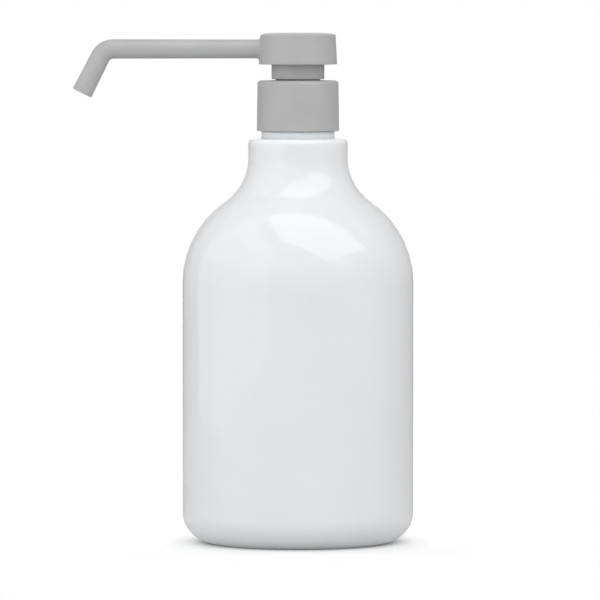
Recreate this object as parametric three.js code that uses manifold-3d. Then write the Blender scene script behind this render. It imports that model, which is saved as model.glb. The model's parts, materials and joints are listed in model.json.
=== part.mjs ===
// Pump bottle: a round blow-moulded bottle closed by a screw-on hand pump.
// Units are millimetres and +Z is up. The origin is on the bottle's axis, on the plane that
// it stands on. The pump is locked down, with its spout pointing along -X.

import * as THREE from "three";
import { mergeVertices } from "three/addons/utils/BufferGeometryUtils.js";
import Module from "manifold-3d";

const wasm = await Module();
wasm.setup();

const QUARTER = Math.PI / 2;
const TURN = Math.PI * 2;

// Bottle body
const bodyRadius = 40;
const bodyStraightTop = 90.3;
const bottleWall = 1.1;
const baseFillet = 10.2;
const baseRingWidth = 4;
const basePanelDepth = 0.9;
const basePanelSlope = 1.6;
const shoulderRadius = 34;
const neckBlendRadius = 18.4;
const neckRadius = 17.2;
const neckStraight = 6.2;
const rimEdge = 2;
const rimRise = 0.6;

// Screw neck
const boreRadius = 9.2;
const finishWall = 1.7;
const finishHeight = 16.65;
const beadHeight = 2.8;
const beadStep = 0.3;
const threadDepth = 1.05;
const threadPitch = 3.175;
const threadRootWidth = 1.9;
const threadCrestWidth = 0.8;
const threadTopMargin = 1.5;
const threadEmbed = 0.3;
const threadRunOut = 0.12;
const threadEndShare = 0.1;
const neckThreadTurns = 1.5;

// Closure
const closureWall = 1.88;
const closureDraft = 0.26;
const closurePanel = 1.55;
const closureEdge = 1.1;
const closureToBead = 0.1;
const closureThreadTurns = 1;
const closureThreadLead = 0.25;
const closureRootWidth = 1.5;
const closureCrestWidth = 0.7;
const rootClearance = 0.45;
const crestClearance = 0.3;
const flankClearance = 0.13;
const closureHoleClearance = 0.25;

// Gasket and pump housing
const gasketThickness = 1;
const gasketClearance = 0.3;
const neckClearance = 1;
const flangeThickness = 1.2;
const housingWall = 1.2;
const barrelStep = 1.3;
const springSeatThickness = 1;
const springSeatHole = 2;
const ballChamberRadius = 3.2;
const ballChamberHeight = 4.8;
const inletRadius = 1.5;
const inletThickness = 0.6;
const tubeSocketLength = 11;

// Lock collar
const snapClearance = 0.15;
const collarWall = 1;
const collarSeat = 0.85;
const collarOverhang = 1.47;
const collarLift = 0.45;
const collarHeight = 6.4;
const collarEdge = 0.4;
const lockWall = 2.07;
const lockFloorRise = 0.3;
const snapSleeveLength = 8;
const guideLength = 11.3;
const guideClearance = 0.25;

// Plunger: stem, rod and piston
const headStroke = 14;
const pistonFloat = 1;
const endClearance = 0.3;
const pistonHeight = 7.5;
const pistonAnnulus = 1.8;
const pistonClearance = 0.15;
const pistonSleeveWall = 0.7;
const pistonLip = 1.2;
const pistonRelief = 0.25;
const pistonWeb = 1.5;
const hubDrop = 0.5;
const hubFoot = 0.6;
const hubClearance = 0.3;
const stemWall = 1.45;
const stemEdge = 0.3;
const rodClearance = 0.15;
const rodRibWidth = 1.3;
const rodInsert = 18;
const rodFlange = 1.5;
const rodFlangeEdge = 0.5;
const springPilot = 1.5;

// Spring, inlet ball and dip tube
const springLockedLength = 11.2;
const springWire = 0.9;
const springTurns = 7;
const springGap = 1.05;
const springClearance = 0.15;
const ballRadius = 2.3;
const ballClearance = 0.12;
const tubeRadius = 2.5;
const tubeWall = 0.8;
const tubeClearance = 0.1;
const tubeFloorGap = 3;
const tubeCutAngle = THREE.MathUtils.degToRad(35);

// Actuator head and spout
const headRadius = 13.57;
const headDraft = 0.54;
const headHeight = 10.9;
const headEdgeDrop = 0.95;
const headEdgeRun = 4.2;
const headOverlap = 1.3;
const headSkirtWall = 1.4;
const headTopWall = 2.2;
const lockClearance = 0.5;
const postGap = 0.5;
const stemEngagement = 7.5;
const stemSocketClearance = 0.15;
const spoutHeight = 5.35;
const spoutReach = 63.9;
const spoutBendRadius = 5.1;
const spoutBendAngle = THREE.MathUtils.degToRad(63);
const spoutTipLength = 13.95;
const spoutRootRadius = 3.24;
const spoutBendSection = 3.385;
const spoutTipRadius = 3.57;
const spoutWall = 1.2;
const spoutFillet = 0.9;
const spoutFlareSink = 0.1;

// Facets
const wideSegments = 48;
const narrowSegments = 24;
const threadSteps = 36;
const spoutSides = 20;
const bendSteps = 7;
const filletSteps = 3;
const coilSteps = 14;
const wireSides = 6;
const ballSegments = 16;
const ballRings = 10;

// Heights from the table upward
const blendRun = neckRadius + neckBlendRadius - (bodyRadius - shoulderRadius);
const blendRise = Math.sqrt((shoulderRadius + neckBlendRadius) ** 2 - blendRun ** 2);
const blendHeight = bodyStraightTop + blendRise;
const blendAngle = Math.atan2(blendRise, blendRun);
const floorHeight = basePanelDepth + bottleWall;
const rimHeight = blendHeight + neckStraight;
const beadTop = rimHeight + beadHeight;
const landHeight = rimHeight + finishHeight;
const flangeBottom = landHeight + gasketThickness;
const flangeTop = flangeBottom + flangeThickness;
const closureBottom = beadTop + closureToBead;
const closureTop = flangeTop + closurePanel;
const collarBottom = closureTop + collarLift;
const collarTop = collarBottom + collarHeight;
const lockFloor = collarBottom + lockFloorRise;
const headBottom = collarTop - headOverlap;
const headTop = headBottom + headHeight;
const headCeiling = headTop - headTopWall;
const spoutAxis = headBottom + spoutHeight;
const postBottom = lockFloor + postGap;
const stemTop = postBottom + stemEngagement;
const socketCeiling = stemTop + endClearance;

// Heights inside the pump, from the flange downward
const snapBottom = flangeTop - snapSleeveLength;
const cupFloor = snapBottom - endClearance;
const guideBottom = flangeTop - guideLength;
const pistonTop = guideBottom - endClearance - headStroke - pistonFloat;
const pistonBottom = pistonTop - pistonHeight;
const hubTop = pistonTop - hubDrop;
const hubBottom = pistonBottom - hubFoot;
const stemBottom = hubTop + pistonFloat + endClearance;
const springTop = hubBottom - rodFlange;
const springSeat = springTop - springLockedLength;
const chamberTop = springSeat - springSeatThickness;
const chamberBottom = chamberTop - ballChamberHeight;
const socketTop = chamberBottom - inletThickness;
const socketBottom = socketTop - tubeSocketLength;

// Radii that follow from the neck's bore
const finishRadius = boreRadius + finishWall;
const neckCrest = finishRadius + threadDepth;
const closureInner = neckCrest + rootClearance;
const closureCrest = finishRadius + crestClearance;
const closureRadius = closureInner + closureWall;
const beadRadius = closureInner + beadStep;
const cupRadius = boreRadius - neckClearance;
const cupBore = cupRadius - housingWall;
const barrelBore = cupBore - barrelStep;
const barrelRadius = barrelBore + housingWall;
const snapRadius = cupBore - snapClearance;
const collarNeck = snapRadius + collarSeat;
const collarRadius = collarNeck + collarOverhang;
const lockBore = collarRadius - lockWall;
const postRadius = lockBore - lockClearance;
const pistonRadius = barrelBore - pistonClearance;
const stemRadius = barrelBore - pistonAnnulus;
const stemBore = stemRadius - stemWall;
const stemSocket = stemRadius + stemSocketClearance;
const guideBore = stemRadius + guideClearance;
const guideRadius = guideBore + collarWall;
const springRadius = barrelBore - springGap - springWire / 2;
const tubeSocket = tubeRadius + tubeClearance;

// Materials
const gloss = (color) => new THREE.MeshStandardMaterial({ color, roughness: 0.2, metalness: 0 });
const satin = (color) => new THREE.MeshStandardMaterial({ color, roughness: 0.5, metalness: 0 });
const bottleWhite = gloss(0xe6eaee);
const pumpGrey = satin(0xafafaf);
const clearPlastic = satin(0xe2e3e1);
const softSeal = satin(0xf0efe9);
const springSteel = new THREE.MeshStandardMaterial({ color: 0xb9bcc0, roughness: 0.3, metalness: 1 });

// Points of an arc in the plane of radius and height, both ends included
function arc(centre, radius, startAngle, endAngle, steps) {
  const points = [];
  for (let step = 0; step <= steps; step += 1) {
    const angle = startAngle + ((endAngle - startAngle) * step) / steps;
    points.push([centre[0] + radius * Math.cos(angle), centre[1] + radius * Math.sin(angle)]);
  }
  return points;
}

// Turns an outline of [radius, height] points about Z. It runs anticlockwise, either from
// the axis back to the axis or round a ring's section.
function revolve(outline, segments) {
  const isRing = outline[0][0] > 0;
  const loop = isRing ? [...outline, outline[0]] : outline;
  const points = loop.map(([radius, height]) => new THREE.Vector2(radius, height));
  const geometry = new THREE.LatheGeometry(points, segments);
  geometry.rotateX(QUARTER);
  return geometry;
}

// A closed solid through rings of points that run anticlockwise about the way it goes
function loft(rings) {
  const sides = rings[0].length;
  const indices = [];
  for (let ring = 0; ring + 1 < rings.length; ring += 1) {
    for (let side = 0; side < sides; side += 1) {
      const here = ring * sides + side;
      const beside = ring * sides + ((side + 1) % sides);
      indices.push(here, beside, beside + sides);
      indices.push(here, beside + sides, here + sides);
    }
  }
  const last = (rings.length - 1) * sides;
  for (let side = 1; side + 1 < sides; side += 1) {
    indices.push(0, side + 1, side);
    indices.push(last, last + side, last + side + 1);
  }
  const geometry = new THREE.BufferGeometry().setFromPoints(rings.flat());
  geometry.setIndex(indices);
  return geometry;
}

function toSolid(geometry) {
  const bare = geometry.clone();
  bare.deleteAttribute("normal");
  bare.deleteAttribute("uv");
  const merged = mergeVertices(bare);
  const vertProperties = new Float32Array(merged.attributes.position.array);
  const triVerts = new Uint32Array(merged.index.array);
  return new wasm.Manifold(new wasm.Mesh({ numProp: 3, vertProperties, triVerts }));
}

function toGeometry(solid) {
  const mesh = solid.getMesh();
  const geometry = new THREE.BufferGeometry();
  geometry.setAttribute("position", new THREE.BufferAttribute(new Float32Array(mesh.vertProperties), 3));
  geometry.setIndex(new THREE.BufferAttribute(new Uint32Array(mesh.triVerts), 1));
  return geometry;
}

function join(first, second) {
  return toGeometry(toSolid(first).add(toSolid(second)));
}

function cut(body, tool) {
  return toGeometry(toSolid(body).subtract(toSolid(tool)));
}

function piece(name, geometry, material) {
  const mesh = new THREE.Mesh(geometry, material);
  mesh.name = name;
  return mesh;
}

// A right-hand thread ridge. Its height above the given start grows by one pitch a turn, and
// it fades into its wall over the run-out at each end.
function threadRidge({ root, crest, rootWidth, crestWidth, startHeight, startTurn, turns }) {
  const steps = Math.round(turns * threadSteps);
  const rings = [];
  for (let step = 0; step <= steps; step += 1) {
    const turn = startTurn + (turns * step) / steps;
    const height = startHeight + turn * threadPitch;
    const fromEnd = (Math.min(step, steps - step) * turns) / steps;
    const fade = Math.min(1, threadEndShare + fromEnd / threadRunOut);
    const tip = root + (crest - root) * fade;
    const section = [
      [root, height - rootWidth / 2],
      [root, height + rootWidth / 2],
      [tip, height + crestWidth / 2],
      [tip, height - crestWidth / 2],
    ];
    const ring = section.map(([radius, z]) => {
      const angle = turn * TURN;
      return new THREE.Vector3(radius * Math.cos(angle), radius * Math.sin(angle), z);
    });
    rings.push(crest > root ? ring : ring.reverse());
  }
  return loft(rings);
}

const neckThreadStart = landHeight - threadTopMargin - neckThreadTurns * threadPitch;

function makeBottle() {
  const ringOuter = bodyRadius - baseFillet;
  const ringInner = ringOuter - baseRingWidth;
  const panelRadius = ringInner - basePanelSlope;
  const filletCentre = [ringOuter, baseFillet];
  const shoulderCentre = [bodyRadius - shoulderRadius, bodyStraightTop];
  const blendCentre = [neckRadius + neckBlendRadius, blendHeight];
  const rimCentre = [neckRadius - rimEdge, rimHeight - rimEdge];
  const blendStart = Math.PI + blendAngle;
  const outside = [
    [0, basePanelDepth],
    [panelRadius, basePanelDepth],
    [ringInner, 0],
    ...arc(filletCentre, baseFillet, -QUARTER, 0, 6),
    ...arc(shoulderCentre, shoulderRadius, 0, blendAngle, 7),
    ...arc(blendCentre, neckBlendRadius, blendStart, Math.PI, 5).slice(1),
    ...arc(rimCentre, rimEdge, 0, QUARTER, 3),
    [beadRadius, rimHeight + rimRise],
    [beadRadius, beadTop],
    [finishRadius, beadTop],
    [finishRadius, landHeight],
  ];
  const ceiling = rimHeight - bottleWall;
  const inside = [
    [boreRadius, landHeight],
    [boreRadius, ceiling],
    [neckRadius - bottleWall - rimEdge, ceiling],
    [neckRadius - bottleWall, ceiling - rimEdge],
    ...arc(blendCentre, neckBlendRadius + bottleWall, Math.PI, blendStart, 4),
    ...arc(shoulderCentre, shoulderRadius - bottleWall, blendAngle, 0, 6).slice(1),
    ...arc(filletCentre, baseFillet - bottleWall, 0, -QUARTER, 4),
    [ringInner, bottleWall],
    [panelRadius, floorHeight],
    [0, floorHeight],
  ];
  const body = revolve([...outside, ...inside], wideSegments);
  const ridge = threadRidge({
    root: finishRadius - threadEmbed,
    crest: neckCrest,
    rootWidth: threadRootWidth,
    crestWidth: threadCrestWidth,
    startHeight: neckThreadStart,
    startTurn: 0,
    turns: neckThreadTurns,
  });
  return join(body, ridge);
}

// The closure's ridge lies under the neck's, so that tightening draws the closure down
function makeClosure() {
  const topRadius = closureRadius - closureDraft;
  const hole = collarNeck + closureHoleClearance;
  const shell = revolve(
    [
      [closureInner, closureBottom],
      [closureRadius, closureBottom],
      ...arc([topRadius - closureEdge, closureTop - closureEdge], closureEdge, 0, QUARTER, 3),
      [hole, closureTop],
      [hole, flangeTop],
      [closureInner, flangeTop],
    ],
    wideSegments,
  );
  const flankGap = (threadRootWidth + threadCrestWidth + closureRootWidth + closureCrestWidth) / 4;
  const ridge = threadRidge({
    root: closureInner + threadEmbed,
    crest: closureCrest,
    rootWidth: closureRootWidth,
    crestWidth: closureCrestWidth,
    startHeight: neckThreadStart - flankGap - flankClearance,
    startTurn: closureThreadLead,
    turns: closureThreadTurns,
  });
  return join(shell, ridge);
}

function makeGasket() {
  const inner = cupRadius + gasketClearance;
  return revolve(
    [
      [inner, landHeight],
      [finishRadius, landHeight],
      [finishRadius, flangeBottom],
      [inner, flangeBottom],
    ],
    wideSegments,
  );
}

function makeHousing() {
  const chamberWall = ballChamberRadius + housingWall;
  const socketWall = tubeSocket + housingWall;
  const seatTop = chamberBottom + ballChamberRadius - inletRadius;
  const cupBottom = cupFloor - housingWall;
  return revolve(
    [
      [tubeSocket, socketBottom],
      [socketWall, socketBottom],
      [socketWall, socketTop - housingWall],
      [chamberWall, socketTop],
      [chamberWall, chamberTop - housingWall],
      [barrelRadius, chamberTop],
      [barrelRadius, cupBottom - housingWall],
      [cupRadius, cupBottom],
      [cupRadius, flangeBottom],
      [finishRadius, flangeBottom],
      [finishRadius, flangeTop],
      [cupBore, flangeTop],
      [cupBore, cupFloor],
      [barrelBore, cupFloor],
      [barrelBore, springSeat],
      [springSeatHole, springSeat],
      [springSeatHole, chamberTop],
      [ballChamberRadius, chamberTop],
      [ballChamberRadius, seatTop],
      [inletRadius, chamberBottom],
      [inletRadius, socketTop],
      [tubeSocket, socketTop],
    ],
    narrowSegments,
  );
}

// The snap sleeve presses into the housing's cup, and the longer guide inside it stops the piston
function makeLockCollar() {
  return revolve(
    [
      [guideBore, guideBottom],
      [guideRadius, guideBottom],
      [guideRadius, flangeTop],
      [snapRadius - collarWall, flangeTop],
      [snapRadius - collarWall, snapBottom],
      [snapRadius, snapBottom],
      [snapRadius, flangeTop],
      [collarNeck, flangeTop],
      [collarNeck, collarBottom],
      [collarRadius, collarBottom],
      [collarRadius, collarTop - collarEdge],
      [collarRadius - collarEdge, collarTop],
      [lockBore + collarEdge, collarTop],
      [lockBore, collarTop - collarEdge],
      [lockBore, lockFloor],
      [guideBore, lockFloor],
    ],
    narrowSegments,
  );
}

function makeStem() {
  return revolve(
    [
      [stemBore, stemBottom],
      [stemRadius - stemEdge, stemBottom],
      [stemRadius, stemBottom + stemEdge],
      [stemRadius, stemTop - stemEdge],
      [stemRadius - stemEdge, stemTop],
      [stemBore, stemTop],
    ],
    narrowSegments,
  );
}

// Four ribs pass the liquid up the stem; the flange shuts the piston and pushes the spring
function makePistonRod() {
  const rib = stemBore - rodClearance;
  const half = rodRibWidth / 2;
  const cross = new THREE.Shape();
  cross.moveTo(rib, -half);
  for (const quarter of [0, 1, 2, 3]) {
    const turned = (x, y) => new THREE.Vector2(x, y).rotateAround(new THREE.Vector2(), quarter * QUARTER);
    for (const corner of [turned(rib, -half), turned(rib, half), turned(half, half)]) {
      cross.lineTo(corner.x, corner.y);
    }
  }
  const depth = stemBottom + rodInsert - springTop;
  const shank = new THREE.ExtrudeGeometry(cross, { depth, bevelEnabled: false });
  shank.translate(0, 0, springTop);
  const pilot = springRadius - springWire / 2 - springClearance;
  const flange = revolve(
    [
      [0, springTop - springPilot],
      [pilot, springTop - springPilot],
      [pilot, springTop],
      [springRadius + springWire / 2, springTop],
      [springRadius + springWire / 2, hubBottom - rodFlangeEdge],
      [stemRadius, hubBottom],
      [0, hubBottom],
    ],
    narrowSegments,
  );
  return join(flange, shank);
}

function makePiston() {
  const sleeve = pistonRadius - pistonSleeveWall;
  const waist = pistonRadius - pistonRelief;
  const webBottom = (pistonTop + pistonBottom - pistonWeb) / 2;
  const webTop = webBottom + pistonWeb;
  return revolve(
    [
      [stemBore + hubClearance, hubBottom],
      [stemRadius, hubBottom],
      [stemRadius, webBottom],
      [sleeve, webBottom],
      [sleeve, pistonBottom],
      [pistonRadius, pistonBottom],
      [pistonRadius, pistonBottom + pistonLip],
      [waist, pistonBottom + pistonLip + pistonRelief],
      [waist, pistonTop - pistonLip - pistonRelief],
      [pistonRadius, pistonTop - pistonLip],
      [pistonRadius, pistonTop],
      [sleeve, pistonTop],
      [sleeve, webTop],
      [stemRadius, webTop],
      [stemRadius, hubTop],
      [stemBore + hubClearance, hubTop],
    ],
    narrowSegments,
  );
}

class Helix extends THREE.Curve {
  constructor(radius, rise, turns) {
    super();
    this.radius = radius;
    this.rise = rise;
    this.turns = turns;
  }

  getPoint(share, target = new THREE.Vector3()) {
    const angle = share * this.turns * TURN;
    return target.set(this.radius * Math.cos(angle), this.radius * Math.sin(angle), share * this.rise);
  }
}

function makeSpring() {
  const rise = springLockedLength - springWire - 2 * springClearance;
  const corners = [];
  for (let side = 0; side < wireSides; side += 1) {
    const angle = (side * TURN) / wireSides;
    corners.push(new THREE.Vector2(Math.cos(angle), Math.sin(angle)).multiplyScalar(springWire / 2));
  }
  return new THREE.ExtrudeGeometry(new THREE.Shape(corners), {
    steps: springTurns * coilSteps,
    extrudePath: new Helix(springRadius, rise, springTurns),
  });
}

function makeDipTube() {
  const top = socketTop - endClearance;
  const bottom = floorHeight + tubeFloorGap;
  const tube = revolve(
    [
      [tubeRadius - tubeWall, bottom],
      [tubeRadius, bottom],
      [tubeRadius, top],
      [tubeRadius - tubeWall, top],
    ],
    narrowSegments,
  );
  const cutterSize = tubeRadius * 8;
  const slant = new THREE.BoxGeometry(cutterSize, cutterSize, cutterSize);
  slant.translate(0, 0, -cutterSize / 2);
  slant.rotateY(tubeCutAngle);
  slant.translate(0, 0, bottom + tubeRadius * Math.tan(tubeCutAngle));
  return cut(tube, slant);
}

// Where the spout's centre line lies at a distance from the bottle's axis, and which way it goes
function spoutStation(distance) {
  const bendLength = spoutBendRadius * spoutBendAngle;
  const along = Math.min(Math.max(distance - spoutReach, 0), bendLength);
  const angle = along / spoutBendRadius;
  const straight = Math.min(distance, spoutReach);
  const beyond = Math.max(distance - spoutReach - bendLength, 0);
  const direction = new THREE.Vector3(-Math.cos(angle), 0, -Math.sin(angle));
  const centre = new THREE.Vector3(
    -straight - spoutBendRadius * Math.sin(angle),
    0,
    spoutAxis - spoutBendRadius * (1 - Math.cos(angle)),
  );
  return { centre: centre.addScaledVector(direction, beyond), direction };
}

// The spout widens a little towards the bend and again towards the tip
function spoutSection(distance) {
  const bendLength = spoutBendRadius * spoutBendAngle;
  const toBend = Math.min(distance / spoutReach, 1);
  const toTip = Math.max(distance - spoutReach - bendLength, 0) / spoutTipLength;
  const straight = THREE.MathUtils.lerp(spoutRootRadius, spoutBendSection, toBend);
  return straight + (spoutTipRadius - spoutBendSection) * Math.min(toTip, 1);
}

// A ring round the spout's centre line, proud of the spout's outer surface or inside it
function spoutRing(distance, proud) {
  const { centre, direction } = spoutStation(distance);
  const radius = spoutSection(distance) + proud;
  const across = new THREE.Vector3(0, 1, 0);
  const up = new THREE.Vector3().crossVectors(direction, across);
  const ring = [];
  for (let side = 0; side < spoutSides; side += 1) {
    const angle = (side * TURN) / spoutSides;
    const point = centre.clone();
    point.addScaledVector(across, radius * Math.cos(angle));
    point.addScaledVector(up, radius * Math.sin(angle));
    ring.push(point);
  }
  return ring;
}

// A tube from one distance to another, with the rings that its bend needs
function spoutTube(start, end, proud) {
  const distances = [start];
  for (let step = 0; step <= bendSteps; step += 1) {
    distances.push(spoutReach + (spoutBendRadius * spoutBendAngle * step) / bendSteps);
  }
  distances.push(end);
  return loft(distances.map((distance) => spoutRing(distance, proud)));
}

// The hollow flare where the spout leaves the head. It starts inside the head's wall and ends
// just under the spout's surface.
function spoutFlare() {
  const wall = headRadius - (headDraft * spoutHeight) / headHeight;
  const rings = [spoutRing(wall - headSkirtWall / 2, spoutFillet)];
  for (let step = 0; step <= filletSteps; step += 1) {
    const angle = (QUARTER * step) / filletSteps;
    const proud = (spoutFillet + spoutFlareSink) * (1 - Math.sin(angle)) - spoutFlareSink;
    rings.push(spoutRing(wall + spoutFillet * (1 - Math.cos(angle)), proud));
  }
  return loft(rings);
}

function makeHead() {
  const topRadius = headRadius - headDraft;
  // A quarter ellipse, so that the top falls off gently before its edge
  const topEdge = arc([-1, -1], 1, 0, QUARTER, 5).map(([run, drop]) => [
    topRadius + run * headEdgeRun,
    headTop + drop * headEdgeDrop,
  ]);
  const shell = revolve(
    [
      [0, socketCeiling],
      [stemSocket, socketCeiling],
      [stemSocket, postBottom],
      [postRadius, postBottom],
      [postRadius, headCeiling],
      [topRadius - headSkirtWall, headCeiling],
      [headRadius - headSkirtWall, headBottom],
      [headRadius, headBottom],
      ...topEdge,
      [0, headTop],
    ],
    wideSegments,
  );
  const tip = spoutReach + spoutBendRadius * spoutBendAngle + spoutTipLength;
  const tube = spoutTube((stemSocket + postRadius) / 2, tip, 0);
  const bore = spoutTube(-stemBore, tip + spoutWall, -spoutWall);
  const riser = revolve(
    [
      [0, stemTop],
      [stemBore, stemTop],
      [stemBore, spoutAxis],
      [0, spoutAxis],
    ],
    narrowSegments,
  );
  const outside = join(join(shell, tube), spoutFlare());
  return cut(cut(outside, bore), riser);
}

function makeBall() {
  const ball = new THREE.SphereGeometry(ballRadius, ballSegments, ballRings);
  ball.rotateX(QUARTER);
  return ball;
}

const closure = piece("closure", makeClosure(), pumpGrey);
const spring = piece("return_spring", makeSpring(), springSteel);
spring.position.z = springSeat + springWire / 2 + springClearance;
const ball = piece("valve_ball", makeBall(), springSteel);
ball.position.z = chamberBottom - inletRadius + Math.SQRT2 * (ballRadius + ballClearance);

const plunger = new THREE.Group();
plunger.add(piece("stem", makeStem(), clearPlastic));
plunger.add(piece("piston_rod", makePistonRod(), clearPlastic));
plunger.add(piece("piston", makePiston(), softSeal));
plunger.add(piece("actuator_head", makeHead(), pumpGrey));

const pump = new THREE.Group();
pump.add(closure);
pump.add(piece("lock_collar", makeLockCollar(), pumpGrey));
pump.add(piece("pump_housing", makeHousing(), clearPlastic));
pump.add(piece("gasket", makeGasket(), softSeal));
pump.add(piece("dip_tube", makeDipTube(), clearPlastic));
pump.add(spring);
pump.add(ball);
pump.add(plunger);

const pumpBottle = new THREE.Group();
pumpBottle.add(piece("bottle", makeBottle(), bottleWhite));
pumpBottle.add(pump);

export default pumpBottle;
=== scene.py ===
"""Looks of the pump bottle: its mouldings as smooth meshes, its plastics, the studio and the camera.

Sizes of the pieces are millimetres in the frame's own axes, and a mesh is scaled to metres when it is
made. The studio and the camera are placed in metres.
"""

import json
import math
from collections import namedtuple

import bmesh
import bpy
from mathutils import Matrix, Vector


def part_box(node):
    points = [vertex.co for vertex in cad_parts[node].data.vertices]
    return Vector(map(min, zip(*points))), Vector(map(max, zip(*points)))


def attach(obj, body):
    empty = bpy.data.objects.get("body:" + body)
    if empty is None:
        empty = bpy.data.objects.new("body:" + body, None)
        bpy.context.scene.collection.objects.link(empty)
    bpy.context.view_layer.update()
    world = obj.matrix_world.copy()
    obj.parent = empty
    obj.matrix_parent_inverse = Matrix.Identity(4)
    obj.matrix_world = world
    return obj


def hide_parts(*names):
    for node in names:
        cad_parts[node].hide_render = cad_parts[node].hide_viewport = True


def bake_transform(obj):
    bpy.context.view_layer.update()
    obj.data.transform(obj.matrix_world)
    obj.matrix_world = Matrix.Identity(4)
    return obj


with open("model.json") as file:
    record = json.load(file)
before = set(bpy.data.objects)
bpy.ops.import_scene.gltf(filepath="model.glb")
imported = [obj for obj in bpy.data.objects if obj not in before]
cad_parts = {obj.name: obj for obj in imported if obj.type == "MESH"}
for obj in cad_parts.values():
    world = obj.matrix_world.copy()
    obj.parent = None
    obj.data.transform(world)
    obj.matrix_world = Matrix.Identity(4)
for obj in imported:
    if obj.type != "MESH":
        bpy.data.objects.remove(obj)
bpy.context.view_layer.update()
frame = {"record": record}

MM = 0.001
UP = Vector((0, 0, 1))


def extent(node):
    """A node's radius about Z, its lowest point and its highest point, in millimetres."""
    low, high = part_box(node)
    return high.y / MM, low.z / MM, high.z / MM


# Bottle body
BODY_RADIUS, BASE_HEIGHT, LAND_HEIGHT = extent("bottle")
BODY_STRAIGHT_TOP = 90.3
BOTTLE_WALL = 1.1
BASE_FILLET = 10.2
BASE_RING_WIDTH = 4
BASE_PANEL_DEPTH = 0.9
BASE_PANEL_SLOPE = 1.6
SHOULDER_RADIUS = 34
NECK_BLEND_RADIUS = 18.4
NECK_RADIUS = 17.2
BASE_STEP_EDGE = 1
RIM_EDGE = 1.3
INNER_RIM_EDGE = 1.2
RIM_RISE = 0.6
SEAM_HEIGHT = 0.03
SEAM_HALF_WIDTH = 0.2
PINCH_LENGTH = 34
PINCH_RADIUS = 0.28
PINCH_LEAST = 0.02

# Screw neck and closure
BORE_RADIUS = 9.2
FINISH_RADIUS = 10.9
FINISH_HEIGHT = 16.65
BEAD_HEIGHT = 2.8
BEAD_RADIUS = 12.7
BEAD_EDGE = 0.1
BEAD_FOOT = 0.8
THREAD_DEPTH = 1.05
THREAD_PITCH = 3.175
THREAD_ROOT_WIDTH = 1.9
THREAD_CREST_WIDTH = 0.8
THREAD_TOP_MARGIN = 1.5
THREAD_RUN_OUT = 0.12
NECK_THREAD_TURNS = 1.5
CLOSURE_RADIUS, CLOSURE_BOTTOM, CLOSURE_TOP = extent("closure")
CLOSURE_DRAFT = 0.26
CLOSURE_INNER = 12.4
CLOSURE_HOLE = 7.95
CLOSURE_EDGE = 1.1
CLOSURE_FOOT = 0.35
CLOSURE_CREST = 11.2
CLOSURE_ROOT_WIDTH = 1.5
CLOSURE_CREST_WIDTH = 0.7
CLOSURE_LEAD = 0.25
CLOSURE_TURNS = 1
FLANK_CLEARANCE = 0.13

# Fixed parts of the pump
FLANGE_RADIUS, HOUSING_BOTTOM, FLANGE_TOP = extent("pump_housing")
GASKET_RADIUS, GASKET_BOTTOM, GASKET_TOP = extent("gasket")
GASKET_INNER = 8.5
CUP_RADIUS = 8.2
CUP_BORE = 7
CUP_FLOOR = 150.289
BARREL_RADIUS = 6.9
BARREL_BORE = 5.7
HOUSING_WALL = 1.2
SPRING_SEAT = 111.189
SPRING_SEAT_THICKNESS = 1
SPRING_SEAT_HOLE = 2
CHAMBER_RADIUS = 3.2
CHAMBER_HEIGHT = 4.8
INLET_RADIUS = 1.5
INLET_THICKNESS = 0.6
TUBE_SOCKET = 2.6
COLLAR_RADIUS, GUIDE_BOTTOM, COLLAR_TOP = extent("lock_collar")
COLLAR_NECK = 7.7
COLLAR_BOTTOM = 160.589
COLLAR_FOOT = 0.25
COLLAR_EDGE = 0.4
LOCK_BORE = 7.1
LOCK_FLOOR = 160.889
LOCK_PITCH = 6
LOCK_DEPTH = 0.35
LOCK_ROOT_WIDTH = 1.5
LOCK_CREST_WIDTH = 0.8
LOCK_LEAD = 0.1
LOCK_TURNS = 0.7
SNAP_RADIUS = 6.85
SNAP_INNER = 5.85
SNAP_BOTTOM = 150.589
GUIDE_RADIUS = 5.15
GUIDE_BORE = 4.15
TUBE_RADIUS, TUBE_BOTTOM, TUBE_TOP = extent("dip_tube")
TUBE_BORE = 1.7
TUBE_CUT = math.radians(35)
BALL_RADIUS, BALL_BOTTOM, BALL_TOP = extent("valve_ball")

# Moving parts of the pump
STEM_RADIUS, STEM_BOTTOM, STEM_TOP = extent("stem")
STEM_BORE = 2.45
STEM_EDGE = 0.3
ROD_RADIUS, ROD_BOTTOM, ROD_TOP = extent("piston_rod")
ROD_FLANGE = 1.5
ROD_FLANGE_BEVEL = 0.5
ROD_PILOT = 3.6
ROD_PILOT_LENGTH = 1.5
ROD_RIB_REACH = 2.3
ROD_RIB_WIDTH = 1.3
PISTON_RADIUS, HUB_BOTTOM, PISTON_TOP = extent("piston")
PISTON_HEIGHT = 7.5
PISTON_WALL = 0.7
PISTON_LIP = 1.2
PISTON_RELIEF = 0.25
PISTON_WEB = 1.5
HUB_BORE = 2.75
HUB_DROP = 0.5
HUB_SEAT_GAP = 0.02
SPRING_RADIUS = 4.2
SPRING_WIRE = 0.9
SPRING_TURNS = 7
SPRING_CLEARANCE = 0.15
SPRING_END_PITCH = 0.93

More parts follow.
